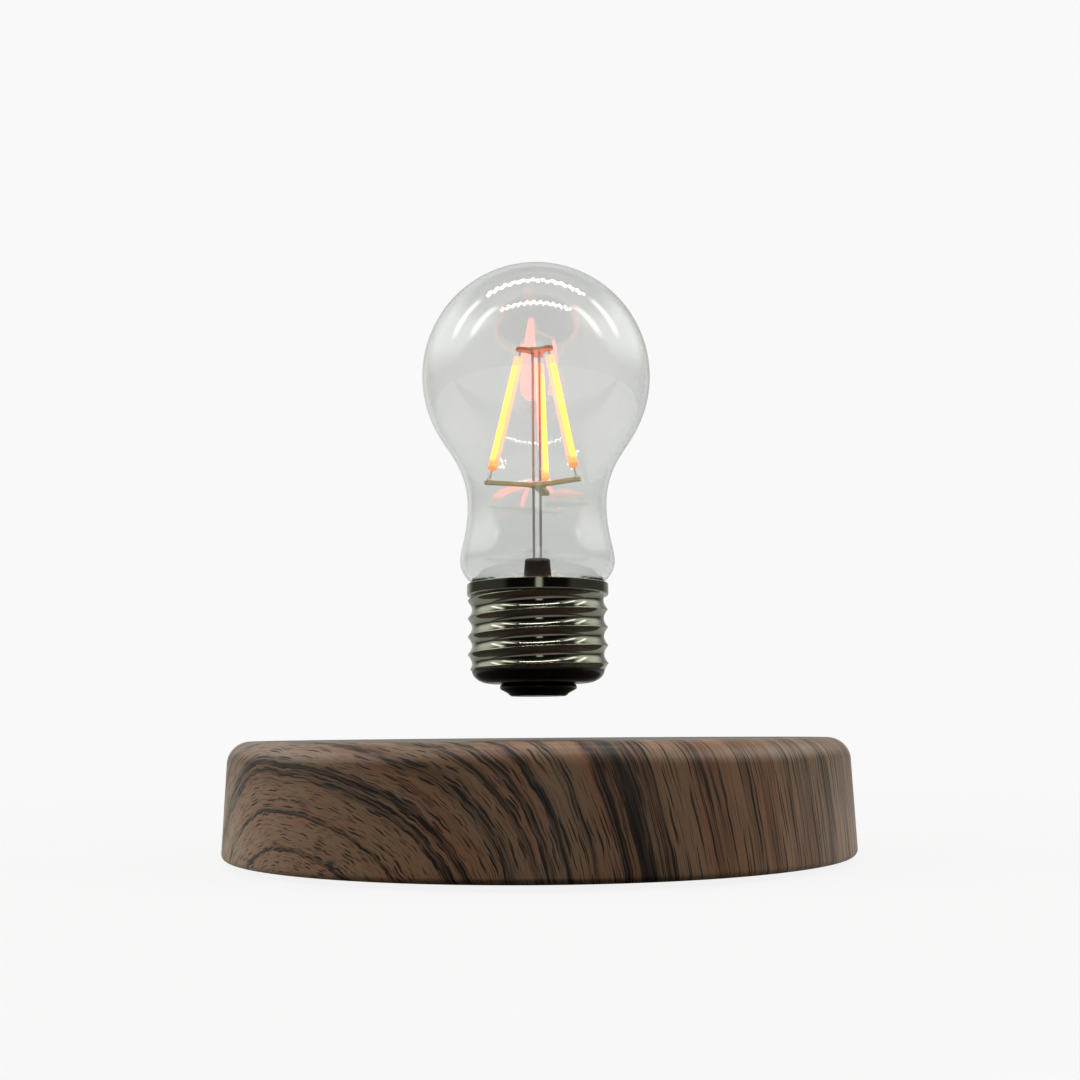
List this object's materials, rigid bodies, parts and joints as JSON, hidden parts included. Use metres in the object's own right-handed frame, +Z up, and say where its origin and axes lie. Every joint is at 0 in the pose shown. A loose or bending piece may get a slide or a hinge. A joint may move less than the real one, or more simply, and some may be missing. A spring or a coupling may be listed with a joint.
{
  "type": "levitating light bulb lamp",
  "caption": "Filament-style light bulb that floats and spins above a round wood-grain magnetic base.",
  "frame": {"origin": "on the table, under the middle of the round base", "axes": "+Z up, -Y to the pictured front, +Y to the power socket at the rear, +X to the right"},
  "size_m": [0.13, 0.13, 0.1279],
  "materials": {
    "wood_grain": "satin",
    "plate_plastic": "matte",
    "foot_rubber": "matte",
    "screw_steel": "satin",
    "board_green": "satin",
    "bobbin_plastic": "matte",
    "copper": "satin",
    "core_iron": "satin",
    "ferrite": "matte",
    "chip_black": "matte",
    "socket_plastic": "satin",
    "contact_metal": "satin",
    "capacitor_sleeve": "gloss",
    "magnet_nickel": "polished",
    "gloss_black": "gloss",
    "cap_gunmetal": "polished",
    "stem_black": "satin",
    "wire_grey": "satin",
    "bracket_olive": "satin",
    "filament_glow": "satin",
    "solder": "satin",
    "clear_glass": "gloss"
  },
  "bodies": {
    "base": {"base_shell": "wood_grain", "bottom_plate": "plate_plastic", "front_right_foot": "foot_rubber", "rear_right_foot": "foot_rubber", "rear_left_foot": "foot_rubber", "front_left_foot": "foot_rubber", "case_screws": "screw_steel", "main_board": "board_green", "board_screws": "screw_steel", "right_coil_bobbin": "bobbin_plastic", "rear_coil_bobbin": "bobbin_plastic", "left_coil_bobbin": "bobbin_plastic", "front_coil_bobbin": "bobbin_plastic", "right_coil_winding": "copper", "rear_coil_winding": "copper", "left_coil_winding": "copper", "front_coil_winding": "copper", "right_coil_core": "core_iron", "rear_coil_core": "core_iron", "left_coil_core": "core_iron", "front_coil_core": "core_iron", "ring_magnet": "ferrite", "hall_holder": "chip_black", "hall_sensors": "chip_black", "transmitter_coil": "copper", "transmitter_leads": "copper", "power_socket": "socket_plastic", "power_socket_pin": "contact_metal", "power_transistors": "chip_black", "control_chip": "chip_black", "filter_capacitors": "capacitor_sleeve", "power_inductor": "ferrite", "touch_spring": "contact_metal"},
    "lift_magnet": {"floating_magnet": "magnet_nickel"},
    "bulb": {"contact_button": "gloss_black", "cap_insulator": "gloss_black", "screw_cap": "cap_gunmetal", "receiver_coil": "copper", "receiver_leads": "copper", "receiver_board": "board_green", "receiver_capacitor": "capacitor_sleeve", "rectifier_chip": "chip_black", "stem": "stem_black", "left_support_wire": "wire_grey", "right_support_wire": "wire_grey", "lower_bracket": "bracket_olive", "upper_bracket": "bracket_olive", "rear_filament": "filament_glow", "left_filament": "filament_glow", "right_filament": "filament_glow", "filament_pins": "contact_metal", "solder_joints": "solder", "glass_bulb": "clear_glass"}
  },
  "joints": [
    {"name": "bulb_float", "type": "slide", "parent": "base", "child": "lift_magnet", "axis": [0, 0, 1], "range_m": [-0.0087, 0.015], "stiffness_N_per_m": 80, "springref_m": 0.00926},
    {"name": "bulb_spin", "type": "hinge", "parent": "lift_magnet", "child": "bulb", "pos_m": [0, 0, 0.0425], "axis": [0, 0, 1], "continuous": true}
  ]
}
